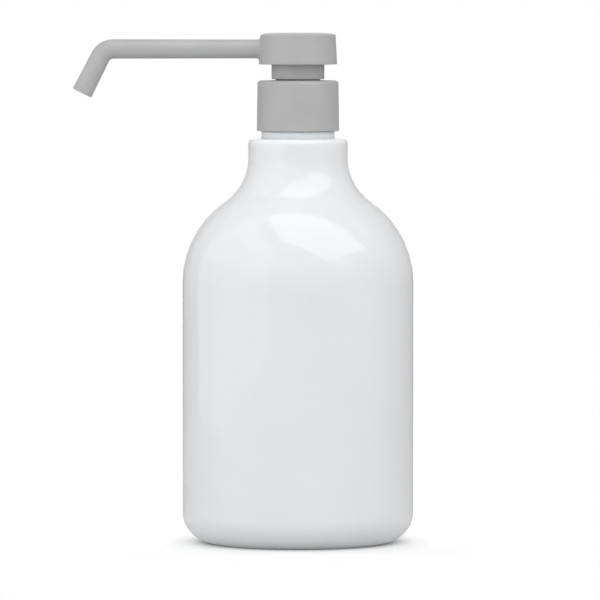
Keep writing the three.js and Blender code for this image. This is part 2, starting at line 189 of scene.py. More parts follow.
# Head and spout
HEAD_RADIUS, _, HEAD_TOP = extent("actuator_head")
HEAD_BOTTOM = 165.689
HEAD_DRAFT = 0.54
HEAD_EDGE_DROP = 0.95
HEAD_EDGE_RUN = 4.2
HEAD_FOOT = 0.25
HEAD_SKIRT = 1.4
HEAD_TOP_WALL = 2.2
POST_RADIUS = 6.6
POST_GAP = 0.5
POST_RIDGE_DROP = 1
POST_RIDGE_LEAD = 0.25
POST_RIDGE_TURNS = 0.5
POST_RIDGE_SLACK = 0.2
STEM_SOCKET = 4.05
SOCKET_CEILING = 169.189
SPOUT_AXIS = 171.039
SPOUT_REACH = 63.9
SPOUT_BEND_RADIUS = 5.1
SPOUT_BEND = math.radians(63)
SPOUT_TIP_LENGTH = 13.95
SPOUT_ROOT_RADIUS = 3.24
SPOUT_BEND_SECTION = 3.385
SPOUT_TIP_RADIUS = 3.57
SPOUT_WALL = 1.2
SPOUT_FILLET = 0.9
SPOUT_TIP_EDGE = 0.3

# Roundings that many edges share
THIN_EDGE = 0.1
FINE_EDGE = 0.15
SMALL_EDGE = 0.2
SOFT_EDGE = 0.3
WIDE_EDGE = 0.4

# Fineness of the meshes
ARC_STEP = math.radians(9)
HOLD = 0.3
TINY = 1e-3
ON_WALL = 0.01
BODY_SEGMENTS = 240
CAP_SEGMENTS = 192
HEAD_SEGMENTS = 160
INNER_SEGMENTS = 96
THREAD_ROWS = 96
LOCK_ROWS = 36
WINDOW_COLUMNS = 20
WINDOW_ROWS = 14
WINDOW_RINGS = 4
TOP_EDGE_STEPS = 12
FILLET_RINGS = 6
STRAIGHT_RINGS = 12
BEND_RINGS = 24
BORE_SIDES = 48
COIL_STEPS = 48
WIRE_SIDES = 16
PINCH_STEPS = 8
BALL_STEPS = 32
TIP_RINGS = 4
TIP_EDGE_RINGS = 4
INNER_TUBE_RINGS = 2
FLOOR_SIDES = 64
SHARP_ANGLE = math.radians(40)

# Heights that several pieces share
RIM_HEIGHT = LAND_HEIGHT - FINISH_HEIGHT
BEAD_TOP = RIM_HEIGHT + BEAD_HEIGHT
NECK_THREAD_START = LAND_HEIGHT - THREAD_TOP_MARGIN - NECK_THREAD_TURNS * THREAD_PITCH
POST_BOTTOM = LOCK_FLOOR + POST_GAP
HEAD_CEILING = HEAD_TOP - HEAD_TOP_WALL
BEND_LENGTH = SPOUT_BEND_RADIUS * SPOUT_BEND
SPOUT_LENGTH = SPOUT_REACH + BEND_LENGTH + SPOUT_TIP_LENGTH

BODY_OF = {
    node: body
    for body, nodes in frame["record"]["behaviour"]["bodies"].items()
    for node in nodes
}

# Radius and height of an outline's corner, how much it is rounded, and how many rows divide
# the straight run that follows it
Corner = namedtuple("Corner", "radius height rounding rows", defaults=(0, 1))


class Shell:
    """Points in millimetres and faces, gathered ring by ring."""

    def __init__(self):
        self.points = []
        self.faces = []

    def ring(self, points):
        start = len(self.points)
        self.points.extend(Vector(point) for point in points)
        return list(range(start, len(self.points)))

    def pole(self, point, sides):
        """One point that stands for a whole ring."""
        return self.ring([point]) * sides

    def band(self, lower, upper, skip=()):
        """Faces between two rings that run anticlockwise, seen from where they face."""
        sides = len(lower)
        for side in range(sides):
            if side in skip:
                continue
            after = (side + 1) % sides
            loop = (lower[side], lower[after], upper[after], upper[side])
            self.faces.append(tuple(dict.fromkeys(loop)))

    def loft(self, rings):
        """A closed solid through rings of points, ended by a fan at each end."""
        sides = len(rings[0])
        made = [self.ring(points) for points in rings]
        first = sum((Vector(point) for point in rings[0]), Vector()) / sides
        last = sum((Vector(point) for point in rings[-1]), Vector()) / sides
        made = [self.pole(first, sides), *made, self.pole(last, sides)]
        for lower, upper in zip(made, made[1:]):
            self.band(lower, upper)
        return self


def polar(radius, angle, height):
    return Vector((radius * math.cos(angle), radius * math.sin(angle), height))


def even_angles(segments):
    return [math.tau * step / segments for step in range(segments)]


def smooth(share):
    share = min(1, max(0, share))
    return share * share * (3 - 2 * share)


def corner_arc(before, corner, after):
    """Points of the arc that rounds a corner between its two neighbours."""
    here = Vector((corner.radius, corner.height))
    if not corner.rounding:
        return [here]
    back = (Vector((before.radius, before.height)) - here).normalized()
    ahead = (Vector((after.radius, after.height)) - here).normalized()
    half = back.angle(ahead) / 2
    centre = here + (back + ahead).normalized() * (corner.rounding / math.sin(half))
    start = here + back * (corner.rounding / math.tan(half)) - centre
    sweep = start.angle_signed(here + ahead * (corner.rounding / math.tan(half)) - centre)
    steps = max(2, math.ceil(abs(sweep) / ARC_STEP))
    return [centre + Matrix.Rotation(-sweep * step / steps, 2) @ start for step in range(steps + 1)]


def straight_run(start, end, rows):
    """Points between two arcs: even rows, or one near each end that keeps a flat face flat."""
    length = (end - start).length
    if rows > 1:
        return [start.lerp(end, row / rows) for row in range(1, rows)]
    if length > 3 * HOLD:
        return [start.lerp(end, HOLD / length), end.lerp(start, HOLD / length)]
    return []


def outline(corners, closed=True):
    """An outline of (radius, height) points through rounded corners, with the solid on its left."""
    count = len(corners)
    arcs = []
    for place, corner in enumerate(corners):
        if not closed and place in (0, count - 1):
            arcs.append([Vector((corner.radius, corner.height))])
        else:
            arcs.append(corner_arc(corners[place - 1], corner, corners[(place + 1) % count]))
    points = []
    for place, arc in enumerate(arcs):
        points.extend(arc)
        if closed or place + 1 < count:
            following = arcs[(place + 1) % count][0]
            points.extend(straight_run(arc[-1], following, corners[place].rows))
    distinct = [points[0]]
    for point in points[1:]:
        if (point - distinct[-1]).length > TINY:
            distinct.append(point)
    return distinct


def turn(shell, points, angles, relief=None, window=None):
    """Turns an outline about Z. Relief moves a point out by a function of angle, radius and
    height, and the window (first row, last row, columns) stays open. Returns the rings."""
    rings = []
    for radius, height in points:
        if radius < TINY:
            rings.append(shell.pole((0, 0, height), len(angles)))
            continue
        out = [relief(angle, radius, height) if relief else 0 for angle in angles]
        rings.append(shell.ring([polar(radius + d, angle, height) for d, angle in zip(out, angles)]))
    for row, lower in enumerate(rings):
        upper = rings[(row + 1) % len(rings)]
        if points[0][0] < TINY and row + 1 == len(rings):
            break
        is_open = window and window[0] <= row < window[1]
        shell.band(lower, upper, window[2] if is_open else ())
    return rings


def turned(corners, segments, relief=None):
    """A solid of revolution from its corners."""
    shell = Shell()
    closed = corners[0].radius > TINY
    turn(shell, outline(corners, closed), even_angles(segments), relief)
    return shell


def thread(start_height, pitch, start_turn, turns, root_width, crest_width):
    """How much of a right-hand thread's full depth stands at an angle and height, from 0 to 1."""

    def share(angle, height):
        most = 0
        for whole in range(math.ceil(start_turn + turns) + 1):
            at = angle / math.tau + whole
            from_end = min(at - start_turn, start_turn + turns - at)
            if from_end <= 0:
                continue
            away = abs(height - start_height - at * pitch)
            flank = (root_width / 2 - away) / ((root_width - crest_width) / 2)
            most = max(most, min(1, max(0, flank)) * smooth(from_end / THREAD_RUN_OUT))
        return most

    return share


def to_object(name, shell):
    mesh = bpy.data.meshes.new(name)
    mesh.from_pydata([point * MM for point in shell.points], [], shell.faces)
    mesh.validate()
    made = bpy.data.objects.new(name, mesh)
    bpy.context.scene.collection.objects.link(made)
    return made


def weld(mesh):
    """Closes up the slivers that a cut or a join leaves."""
    work = bmesh.new()
    work.from_mesh(mesh)
    bmesh.ops.remove_doubles(work, verts=work.verts, dist=TINY * MM)
    bmesh.ops.dissolve_degenerate(work, dist=TINY * MM, edges=work.edges)
    work.to_mesh(mesh)
    work.free()


def combine(made, shell, operation):
    """Joins a solid to an object, or cuts it away."""
    tool = to_object(made.name + "_tool", shell)
    modifier = made.modifiers.new(operation, "BOOLEAN")
    modifier.operation = operation
    modifier.solver = "EXACT"
    modifier.object = tool
    graph = bpy.context.evaluated_depsgraph_get()
    result = bpy.data.meshes.new_from_object(made.evaluated_get(graph))
    weld(result)
    made.modifiers.clear()
    made.data = result
    bpy.data.objects.remove(tool)


def dress(made, node, material):
    """Smooths a piece, gives it its material and puts it in the place of its node."""
    made.data.shade_smooth()
    made.data.set_sharp_from_angle(angle=SHARP_ANGLE)
    made.data.materials.clear()
    made.data.materials.append(material)
    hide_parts(node)
    return made


def place(name, shell, node, material):
    made = dress(to_object(name, shell), node, material)
    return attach(made, BODY_OF[node])


# Bottle


def bottle_corners():
    """Outside from the base panel up to the neck's land, then inside back down to the floor."""
    ring_outer = BODY_RADIUS - BASE_FILLET
    ring_inner = ring_outer - BASE_RING_WIDTH
    panel = ring_inner - BASE_PANEL_SLOPE
    run = NECK_RADIUS + NECK_BLEND_RADIUS - (BODY_RADIUS - SHOULDER_RADIUS)
    blend_rise = math.sqrt((SHOULDER_RADIUS + NECK_BLEND_RADIUS) ** 2 - run**2)
    half_turn = math.atan2(blend_rise, run) / 2
    shoulder_corner = BODY_STRAIGHT_TOP + SHOULDER_RADIUS * math.tan(half_turn)
    neck_corner = BODY_STRAIGHT_TOP + blend_rise - NECK_BLEND_RADIUS * math.tan(half_turn)
    wall_rise = BOTTLE_WALL * math.tan(half_turn)
    floor = BASE_PANEL_DEPTH + BOTTLE_WALL
    ceiling = RIM_HEIGHT - BOTTLE_WALL
    outside = [
        Corner(0, BASE_PANEL_DEPTH),
        Corner(panel, BASE_PANEL_DEPTH, BASE_STEP_EDGE),
        Corner(ring_inner, BASE_HEIGHT, BASE_STEP_EDGE),
        Corner(BODY_RADIUS, BASE_HEIGHT, BASE_FILLET),
        Corner(BODY_RADIUS, shoulder_corner, SHOULDER_RADIUS),
        Corner(NECK_RADIUS, neck_corner, NECK_BLEND_RADIUS),
        Corner(NECK_RADIUS, RIM_HEIGHT, RIM_EDGE),
        Corner(BEAD_RADIUS, RIM_HEIGHT + RIM_RISE, BEAD_FOOT),
        Corner(BEAD_RADIUS, BEAD_TOP, BEAD_EDGE),
        Corner(FINISH_RADIUS, BEAD_TOP, SOFT_EDGE, THREAD_ROWS),
        Corner(FINISH_RADIUS, LAND_HEIGHT, SOFT_EDGE),
    ]
    inner_radius = BODY_RADIUS - BOTTLE_WALL
    inner_neck = NECK_RADIUS - BOTTLE_WALL
    inside = [
        Corner(BORE_RADIUS, LAND_HEIGHT, SOFT_EDGE),
        Corner(BORE_RADIUS, ceiling, WIDE_EDGE),
        Corner(inner_neck, ceiling, INNER_RIM_EDGE),
        Corner(inner_neck, neck_corner - wall_rise, NECK_BLEND_RADIUS + BOTTLE_WALL),
        Corner(inner_radius, shoulder_corner - wall_rise, SHOULDER_RADIUS - BOTTLE_WALL),
        Corner(inner_radius, BOTTLE_WALL, BASE_FILLET - BOTTLE_WALL),
        Corner(ring_inner, BOTTLE_WALL, BASE_STEP_EDGE),
        Corner(panel, floor, BASE_STEP_EDGE),
        Corner(0, floor),
    ]
    return outside + inside


def make_bottle(material):
    """The blow-moulded bottle, with its neck thread, mould seam and pinch-off line."""
    seam = SEAM_HALF_WIDTH / BODY_RADIUS
    sides = [0, math.pi]
    angles = even_angles(BODY_SEGMENTS)
    angles = sorted(angles + [side + seam for side in sides] + [math.pi - seam, math.tau - seam])
    neck_thread = thread(
        NECK_THREAD_START, THREAD_PITCH, 0, NECK_THREAD_TURNS, THREAD_ROOT_WIDTH, THREAD_CREST_WIDTH
    )

    def relief(angle, radius, height):
        if height > BEAD_TOP and abs(radius - FINISH_RADIUS) < TINY:
            return THREAD_DEPTH * neck_thread(angle, height)
        on_seam = any(abs(angle - side) < seam / 2 for side in sides)
        return SEAM_HEIGHT if on_seam and radius > BODY_RADIUS - TINY else 0

    shell = Shell()
    turn(shell, outline(bottle_corners(), closed=False), angles, relief)
    made = to_object("bottle_moulding", shell)
    around = [Vector((0, math.cos(angle), math.sin(angle))) for angle in even_angles(WIRE_SIDES)]
    pinch = []
    for step in range(-PINCH_STEPS, PINCH_STEPS + 1):
        share = step / PINCH_STEPS
        size = PINCH_RADIUS * math.sqrt(max(PINCH_LEAST, 1 - share * share))
        centre = Vector((share * PINCH_LENGTH / 2, 0, BASE_PANEL_DEPTH))
        pinch.append([centre + size * out for out in around])
    combine(made, Shell().loft(pinch), "UNION")
    dress(made, "bottle", material)
    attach(made, BODY_OF["bottle"])


# Pump parts that are turned


def make_closure(material):
    ridge_gap = (THREAD_ROOT_WIDTH + THREAD_CREST_WIDTH + CLOSURE_ROOT_WIDTH + CLOSURE_CREST_WIDTH) / 4
    ridge = thread(
        NECK_THREAD_START - ridge_gap - FLANK_CLEARANCE,
        THREAD_PITCH,
        CLOSURE_LEAD,
        CLOSURE_TURNS,
        CLOSURE_ROOT_WIDTH,
        CLOSURE_CREST_WIDTH,
    )

    def relief(angle, radius, height):
        if abs(radius - CLOSURE_INNER) < TINY:
            return (CLOSURE_CREST - CLOSURE_INNER) * ridge(angle, height)
        return 0

    corners = [
        Corner(CLOSURE_INNER, CLOSURE_BOTTOM, SMALL_EDGE),
        Corner(CLOSURE_RADIUS, CLOSURE_BOTTOM, CLOSURE_FOOT),
        Corner(CLOSURE_RADIUS - CLOSURE_DRAFT, CLOSURE_TOP, CLOSURE_EDGE),
        Corner(CLOSURE_HOLE, CLOSURE_TOP, SOFT_EDGE),
        Corner(CLOSURE_HOLE, FLANGE_TOP, THIN_EDGE),
        Corner(CLOSURE_INNER, FLANGE_TOP, 0, THREAD_ROWS),
    ]
    place("closure_moulding", turned(corners, CAP_SEGMENTS, relief), "closure", material)


def make_lock_collar(material):
    """The collar on the closure, with the groove that the head's post screws down into."""
    groove = thread(
        LOCK_FLOOR, LOCK_PITCH, LOCK_LEAD, LOCK_TURNS, LOCK_ROOT_WIDTH, LOCK_CREST_WIDTH
    )

    def relief(angle, radius, height):
        if abs(radius - LOCK_BORE) < TINY:
            return LOCK_DEPTH * groove(angle, height)
        return 0

    corners = [
        Corner(GUIDE_BORE, GUIDE_BOTTOM, SMALL_EDGE),
        Corner(GUIDE_RADIUS, GUIDE_BOTTOM, SMALL_EDGE),
        Corner(GUIDE_RADIUS, FLANGE_TOP, SMALL_EDGE),
        Corner(SNAP_INNER, FLANGE_TOP, SMALL_EDGE),
        Corner(SNAP_INNER, SNAP_BOTTOM, SMALL_EDGE),
        Corner(SNAP_RADIUS, SNAP_BOTTOM, SOFT_EDGE),
        Corner(SNAP_RADIUS, FLANGE_TOP, THIN_EDGE),
        Corner(COLLAR_NECK, FLANGE_TOP, FINE_EDGE),
        Corner(COLLAR_NECK, COLLAR_BOTTOM, THIN_EDGE),
        Corner(COLLAR_RADIUS, COLLAR_BOTTOM, COLLAR_FOOT),
        Corner(COLLAR_RADIUS, COLLAR_TOP, COLLAR_EDGE),
        Corner(LOCK_BORE, COLLAR_TOP, COLLAR_EDGE, LOCK_ROWS),
        Corner(LOCK_BORE, LOCK_FLOOR, THIN_EDGE),
        Corner(GUIDE_BORE, LOCK_FLOOR, SOFT_EDGE),
    ]
    place("lock_collar_moulding", turned(corners, CAP_SEGMENTS, relief), "lock_collar", material)


def make_housing(material):
    chamber_top = SPRING_SEAT - SPRING_SEAT_THICKNESS
    chamber_bottom = chamber_top - CHAMBER_HEIGHT
    chamber_wall = CHAMBER_RADIUS + HOUSING_WALL
    seat_top = chamber_bottom + CHAMBER_RADIUS - INLET_RADIUS
    socket_top = chamber_bottom - INLET_THICKNESS
    socket_wall = TUBE_SOCKET + HOUSING_WALL
    cup_bottom = CUP_FLOOR - HOUSING_WALL
    corners = [
        Corner(TUBE_SOCKET, HOUSING_BOTTOM, SMALL_EDGE),
        Corner(socket_wall, HOUSING_BOTTOM, SOFT_EDGE),
        Corner(socket_wall, socket_top - HOUSING_WALL, WIDE_EDGE),
        Corner(chamber_wall, socket_top, WIDE_EDGE),
        Corner(chamber_wall, chamber_top - HOUSING_WALL, WIDE_EDGE),
        Corner(BARREL_RADIUS, chamber_top, WIDE_EDGE),
        Corner(BARREL_RADIUS, cup_bottom - HOUSING_WALL, WIDE_EDGE),
        Corner(CUP_RADIUS, cup_bottom, WIDE_EDGE),
        Corner(CUP_RADIUS, GASKET_TOP, SMALL_EDGE),
        Corner(FLANGE_RADIUS, GASKET_TOP, SMALL_EDGE),
        Corner(FLANGE_RADIUS, FLANGE_TOP, SMALL_EDGE),
        Corner(CUP_BORE, FLANGE_TOP, SOFT_EDGE),
        Corner(CUP_BORE, CUP_FLOOR, SMALL_EDGE),
        Corner(BARREL_BORE, CUP_FLOOR, SOFT_EDGE),
        Corner(BARREL_BORE, SPRING_SEAT, SMALL_EDGE),
        Corner(SPRING_SEAT_HOLE, SPRING_SEAT, SMALL_EDGE),
        Corner(SPRING_SEAT_HOLE, chamber_top, SMALL_EDGE),
        Corner(CHAMBER_RADIUS, chamber_top, SMALL_EDGE),
        Corner(CHAMBER_RADIUS, seat_top, SMALL_EDGE),
        Corner(INLET_RADIUS, chamber_bottom, THIN_EDGE),
        Corner(INLET_RADIUS, socket_top, THIN_EDGE),
        Corner(TUBE_SOCKET, socket_top, SMALL_EDGE),
    ]
    place("pump_barrel", turned(corners, INNER_SEGMENTS), "pump_housing", material)


def make_gasket(material):
    corners = [
        Corner(GASKET_INNER, GASKET_BOTTOM, FINE_EDGE),
        Corner(GASKET_RADIUS, GASKET_BOTTOM, FINE_EDGE),
        Corner(GASKET_RADIUS, GASKET_TOP, FINE_EDGE),
        Corner(GASKET_INNER, GASKET_TOP, FINE_EDGE),
    ]
    place("seal_ring", turned(corners, INNER_SEGMENTS), "gasket", material)


def make_stem(material):
    corners = [
        Corner(STEM_BORE, STEM_BOTTOM, SMALL_EDGE),
        Corner(STEM_RADIUS, STEM_BOTTOM, STEM_EDGE),
        Corner(STEM_RADIUS, STEM_TOP, STEM_EDGE),
        Corner(STEM_BORE, STEM_TOP, SMALL_EDGE),
    ]
    place("stem_tube", turned(corners, INNER_SEGMENTS), "stem", material)


def make_piston(material):
    """Two thin lips on a web round the hub."""
    foot = HUB_BOTTOM + HUB_SEAT_GAP
    bottom = PISTON_TOP - PISTON_HEIGHT
    sleeve = PISTON_RADIUS - PISTON_WALL
    waist = PISTON_RADIUS - PISTON_RELIEF
    web_bottom = (PISTON_TOP + bottom - PISTON_WEB) / 2
    web_top = web_bottom + PISTON_WEB
    corners = [
        Corner(HUB_BORE, foot, FINE_EDGE),
        Corner(STEM_RADIUS, foot, SOFT_EDGE),
        Corner(STEM_RADIUS, web_bottom, SMALL_EDGE),
        Corner(sleeve, web_bottom, SMALL_EDGE),
        Corner(sleeve, bottom, SMALL_EDGE),
        Corner(PISTON_RADIUS, bottom, SOFT_EDGE),
        Corner(PISTON_RADIUS, bottom + PISTON_LIP, SOFT_EDGE),
        Corner(waist, bottom + PISTON_LIP + PISTON_RELIEF, SMALL_EDGE),
        Corner(waist, PISTON_TOP - PISTON_LIP - PISTON_RELIEF, SMALL_EDGE),
        Corner(PISTON_RADIUS, PISTON_TOP - PISTON_LIP, SOFT_EDGE),
        Corner(PISTON_RADIUS, PISTON_TOP, SOFT_EDGE),
        Corner(sleeve, PISTON_TOP, SMALL_EDGE),
        Corner(sleeve, web_top, SMALL_EDGE),
        Corner(STEM_RADIUS, web_top, SMALL_EDGE),
        Corner(STEM_RADIUS, PISTON_TOP - HUB_DROP, SOFT_EDGE),
        Corner(HUB_BORE, PISTON_TOP - HUB_DROP, FINE_EDGE),
    ]
    place("piston_cup", turned(corners, INNER_SEGMENTS), "piston", material)


def make_rod(material):
    """The flange and spring pilot, with a fluted shank that stands up into the stem."""
    flange_bottom = ROD_BOTTOM + ROD_PILOT_LENGTH
    flange_top = flange_bottom + ROD_FLANGE
    corners = [
        Corner(0, ROD_BOTTOM),
        Corner(ROD_PILOT, ROD_BOTTOM, WIDE_EDGE),
        Corner(ROD_PILOT, flange_bottom, FINE_EDGE),
        Corner(ROD_RADIUS, flange_bottom, SMALL_EDGE),
        Corner(ROD_RADIUS, flange_top - ROD_FLANGE_BEVEL, SOFT_EDGE),
        Corner(STEM_RADIUS, flange_top, SMALL_EDGE),
        Corner(0, flange_top),
    ]
    made = to_object("plunger_rod", turned(corners, INNER_SEGMENTS))
    half = ROD_RIB_WIDTH / 2
    section = []
    for quarter in range(4):
        rotate = Matrix.Rotation(quarter * math.pi / 2, 3, "Z")
        ribs = [(ROD_RIB_REACH, -half, 0), (ROD_RIB_REACH, half, 0), (half, half, 0)]
        section.extend(rotate @ Vector(rib) for rib in ribs)
    heights = (flange_bottom + ROD_FLANGE / 2, ROD_TOP)
    shank = Shell().loft([[point + UP * height for point in section] for height in heights])
    combine(made, shank, "UNION")
    dress(made, "piston_rod", material)
    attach(made, BODY_OF["piston_rod"])


def make_ball(material):
    centre = (BALL_BOTTOM + BALL_TOP) / 2
    corners = []
    for step in range(BALL_STEPS + 1):
        at = -math.pi / 2 + math.pi * step / BALL_STEPS
        corners.append(Corner(BALL_RADIUS * math.cos(at), centre + BALL_RADIUS * math.sin(at)))
    place("inlet_ball", turned(corners, INNER_SEGMENTS), "valve_ball", material)


def make_dip_tube(material):
    """A plain tube whose lower end is cut off at a slant."""
    corners = [
        Corner(TUBE_BORE, TUBE_BOTTOM, THIN_EDGE),
        Corner(TUBE_RADIUS, TUBE_BOTTOM, THIN_EDGE),
        Corner(TUBE_RADIUS, TUBE_TOP, FINE_EDGE),
        Corner(TUBE_BORE, TUBE_TOP, FINE_EDGE),
    ]
    shell = turned(corners, INNER_SEGMENTS)
    middle = (TUBE_BOTTOM + TUBE_TOP) / 2
    for point in shell.points:
        if point.z < middle:
            point.z += (TUBE_RADIUS - point.x) * math.tan(TUBE_CUT)
    place("suction_tube", shell, "dip_tube", material)


def make_spring(material):
    """A coil with closed ends, ground flat, that stretches between the housing and the rod."""
    bottom = SPRING_SEAT + SPRING_CLEARANCE
    top = ROD_BOTTOM + ROD_PILOT_LENGTH - SPRING_CLEARANCE
    rise = top - bottom - SPRING_WIRE
    open_pitch = (rise - 2 * SPRING_END_PITCH) / (SPRING_TURNS - 2)
    steps = SPRING_TURNS * COIL_STEPS
    rings = []
    for step in range(steps + 1):
        turns = step / COIL_STEPS
        closed_turns = min(turns, 1) + max(0, turns - SPRING_TURNS + 1)
        height = closed_turns * SPRING_END_PITCH + (turns - closed_turns) * open_pitch
        out = polar(1, turns * math.tau, 0)
        centre = out * SPRING_RADIUS + UP * (bottom + SPRING_WIRE / 2 + height)
        ring = []
        for angle in even_angles(WIRE_SIDES):
            point = centre + (out * math.cos(angle) + UP * math.sin(angle)) * SPRING_WIRE / 2
            point.z = min(top, max(bottom, point.z))
            ring.append(point)
        rings.append(ring[::-1])
    made = dress(to_object("coil_spring", Shell().loft(rings)), "return_spring", material)
    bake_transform(made)


# Head and spout


def head_wall(height):
    """The head's outer radius at a height."""
    return HEAD_RADIUS - HEAD_DRAFT * (height - HEAD_BOTTOM) / (HEAD_TOP - HEAD_BOTTOM)


def spout_radius(distance):
    """The spout widens a little towards its bend, and again towards its tip."""
    to_bend = min(distance / SPOUT_REACH, 1)
    to_tip = min(max(distance - SPOUT_REACH - BEND_LENGTH, 0) / SPOUT_TIP_LENGTH, 1)
    straight = SPOUT_ROOT_RADIUS + (SPOUT_BEND_SECTION - SPOUT_ROOT_RADIUS) * to_bend
    return straight + (SPOUT_TIP_RADIUS - SPOUT_BEND_SECTION) * to_tip


def spout_ring(distance, angles, proud=0):
    """A ring round the spout's centre line at a distance from the bottle's axis."""
    bent = min(max(distance - SPOUT_REACH, 0), BEND_LENGTH) / SPOUT_BEND_RADIUS
    beyond = max(distance - SPOUT_REACH - BEND_LENGTH, 0)
    ahead = Vector((-math.cos(bent), 0, -math.sin(bent)))
    across = Vector((0, -1, 0))
    over = ahead.cross(across)
    centre = Vector((-min(distance, SPOUT_REACH), 0, SPOUT_AXIS)) + ahead * beyond
    centre.x -= SPOUT_BEND_RADIUS * math.sin(bent)
    centre.z -= SPOUT_BEND_RADIUS * (1 - math.cos(bent))
    radius = spout_radius(distance) + proud
    return [centre + radius * (across * math.cos(angle) + over * math.sin(angle)) for angle in angles]


def spout_distances(start, end):
    """Where the rings of a tube along the spout stand."""
    straight = [start + (SPOUT_REACH - start) * step / STRAIGHT_RINGS for step in range(STRAIGHT_RINGS)]
    bend = [SPOUT_REACH + BEND_LENGTH * step / BEND_RINGS for step in range(BEND_RINGS)]
    tip_start = SPOUT_REACH + BEND_LENGTH
    tip = [tip_start + (end - tip_start) * step / TIP_RINGS for step in range(TIP_RINGS + 1)]
    return straight + bend + tip


def fillet_rings(angles):
    """Rings of the round between the head's wall and the spout, as a rolling ball leaves it."""
    rings = [[] for _ in range(FILLET_RINGS + 1)]
    radius = spout_radius(HEAD_RADIUS)
    for angle in angles:
        across, over = -math.cos(angle), math.sin(angle)
        height = SPOUT_AXIS + (radius + SPOUT_FILLET) * over
        side = (radius + SPOUT_FILLET) * across
        reach = head_wall(height) + SPOUT_FILLET
        ball = Vector((-math.sqrt(reach**2 - side**2), side, height))
        to_wall = Vector((-ball.x, -ball.y, 0)).normalized()
        to_spout = Vector((0, -across, -over))
        for step, ring in enumerate(rings):
            ring.append(ball + SPOUT_FILLET * to_wall.slerp(to_spout, step / FILLET_RINGS))
    return rings


def head_corners():
    """From the riser's top down the socket, up the post, under the ceiling, round the skirt and
    over the top."""
    top_radius = HEAD_RADIUS - HEAD_DRAFT
    edge_radius = head_wall(HEAD_TOP - HEAD_EDGE_DROP)
    top_edge = []
    for facing in [math.pi / 2 * step / TOP_EDGE_STEPS for step in range(TOP_EDGE_STEPS + 1)]:
        at = math.atan2(HEAD_EDGE_DROP * math.sin(facing), HEAD_EDGE_RUN * math.cos(facing))
        radius = edge_radius - HEAD_EDGE_RUN * (1 - math.cos(at))
        top_edge.append(Corner(radius, HEAD_TOP - HEAD_EDGE_DROP * (1 - math.sin(at))))
    return [
        Corner(0, SPOUT_AXIS),
        Corner(STEM_BORE, SPOUT_AXIS, SMALL_EDGE),
        Corner(STEM_BORE, SOCKET_CEILING, THIN_EDGE),
        Corner(STEM_SOCKET, SOCKET_CEILING, SMALL_EDGE),
        Corner(STEM_SOCKET, POST_BOTTOM, SOFT_EDGE),
        Corner(POST_RADIUS, POST_BOTTOM, SOFT_EDGE, LOCK_ROWS),
        Corner(POST_RADIUS, HEAD_BOTTOM),
        Corner(POST_RADIUS, HEAD_CEILING, WIDE_EDGE),
        Corner(top_radius - HEAD_SKIRT, HEAD_CEILING, WIDE_EDGE),
        Corner(HEAD_RADIUS - HEAD_SKIRT, HEAD_BOTTOM, SMALL_EDGE),
        Corner(HEAD_RADIUS, HEAD_BOTTOM, HEAD_FOOT, WINDOW_ROWS + 2),
        *top_edge,
        Corner(0, HEAD_TOP),
    ]


def window_loop(rings, rows, columns):
    """The points round the opening in the head's wall, anticlockwise seen from outside."""
    first, last = columns[0], columns[-1] + 1
    loop = [rings[rows[0]][column] for column in range(first, last)]
    loop += [rings[row][last] for row in range(rows[0], rows[1])]
    loop += [rings[rows[1]][column] for column in range(last, first, -1)]
    loop += [rings[row][first] for row in range(rows[1], rows[0], -1)]
    return loop


def on_head_wall(start, end, share):
    """A point on the head's wall between two others that lie on it."""
    height = start.z + (end.z - start.z) * share
    first = math.atan2(start.y, start.x) % math.tau
    last = math.atan2(end.y, end.x) % math.tau
    return polar(head_wall(height), first + (last - first) * share, height)


def add_spout(shell, loop):
    """Grows the spout out of the opening in the head's wall, ring by ring, to its rounded tip."""
    edge = [shell.points[index] for index in loop]
    turns = [math.atan2(point.y, point.x) % math.tau - math.pi for point in edge]
    angles = [
        math.atan2(point.z - SPOUT_AXIS, head_wall(point.z) * turned_by)
        for point, turned_by in zip(edge, turns)
    ]
    fillet = fillet_rings(angles)
    rings = []
    for step in range(1, WINDOW_RINGS):
        rings.append([on_head_wall(p, q, step / WINDOW_RINGS) for p, q in zip(edge, fillet[0])])
    rings += fillet
    start = HEAD_RADIUS + 2 * SPOUT_FILLET
    distances = spout_distances(start, SPOUT_LENGTH - SPOUT_TIP_EDGE)
    rings += [spout_ring(distance, angles) for distance in distances]
    for step in range(1, TIP_EDGE_RINGS + 1):
        bent = math.pi / 2 * step / TIP_EDGE_RINGS
        distance = SPOUT_LENGTH - SPOUT_TIP_EDGE * (1 - math.sin(bent))
        rings.append(spout_ring(distance, angles, -SPOUT_TIP_EDGE * (1 - math.cos(bent))))
    rings.append(spout_ring(SPOUT_LENGTH, angles, -SPOUT_WALL / 2))
    lower = loop
    for points in rings:
        upper = shell.ring(points)
        shell.band(lower, upper)
        lower = upper
    middle = sum((shell.points[index] for index in lower), Vector()) / len(lower)
    shell.band(lower, shell.pole(middle, len(lower)))


